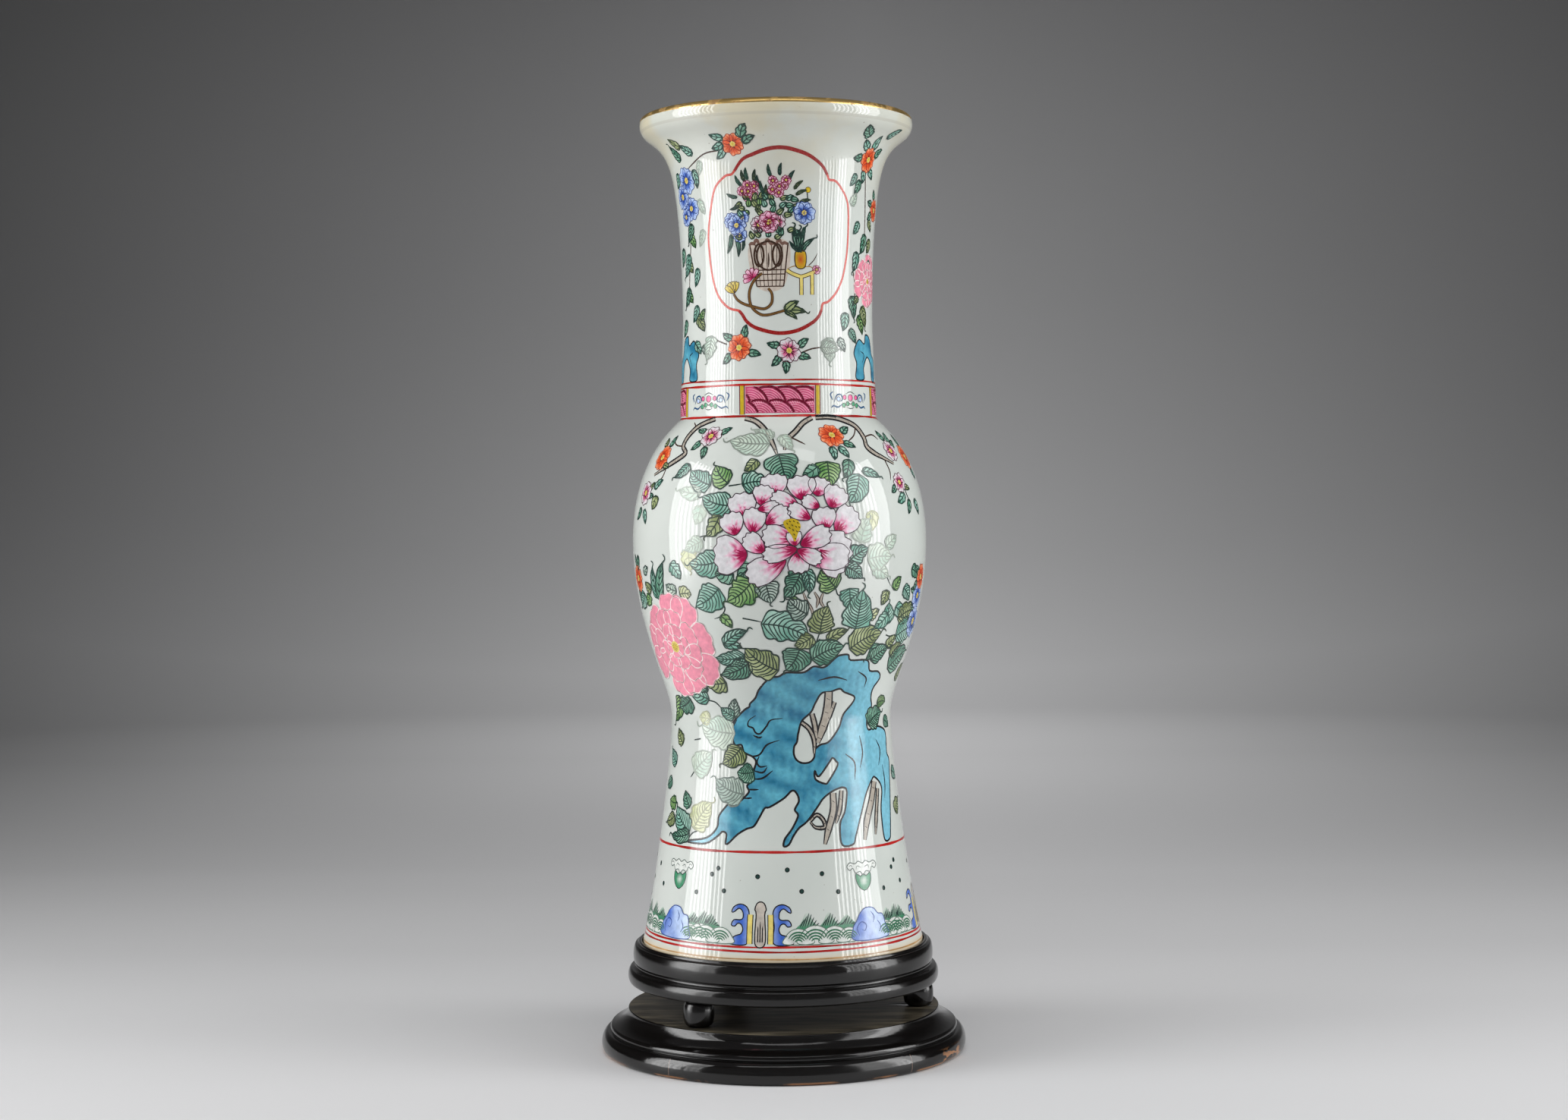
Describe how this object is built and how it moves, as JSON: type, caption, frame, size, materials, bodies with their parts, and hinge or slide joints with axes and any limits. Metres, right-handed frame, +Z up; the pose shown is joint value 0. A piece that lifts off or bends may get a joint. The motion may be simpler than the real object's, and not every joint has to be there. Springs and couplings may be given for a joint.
{
  "type": "porcelain vase on turned stand",
  "caption": "Tall hollow porcelain vase with flared mouth and round belly, standing loose in the collar of a two-tier turned and lacquered wooden stand.",
  "frame": {"origin": "middle of the plinth's rest face, on the surface that the stand rests on", "axes": "+Z up along the vase's and stand's common turning axis; the painted front faces -Y; +X to the viewer's right"},
  "size_m": [0.2002, 0.2002, 0.5102],
  "materials": {
    "porcelain": "glossy clear glaze over white porcelain, painted in raised overglaze enamels",
    "black_lacquer": "black lacquer on turned hardwood, glossy, worn at the lowest edge",
    "screw_steel": "plain steel wood screw, slightly tarnished",
    "gilt": "worn gilt line on the rim"
  },
  "bodies": {
    "stand": {"stand_plinth": "black_lacquer", "stand_collar": "black_lacquer", "bead_spacer_1": "black_lacquer", "bead_spacer_2": "black_lacquer", "bead_spacer_3": "black_lacquer", "wood_screw_1": "screw_steel", "wood_screw_2": "screw_steel", "wood_screw_3": "screw_steel"},
    "vase": {"vase_body": "porcelain"}
  },
  "joints": [
    {"name": "vase_lift", "type": "slide", "parent": "stand", "child": "vase", "axis": [0, 0, 1], "range_m": [0, 0.06]}
  ]
}
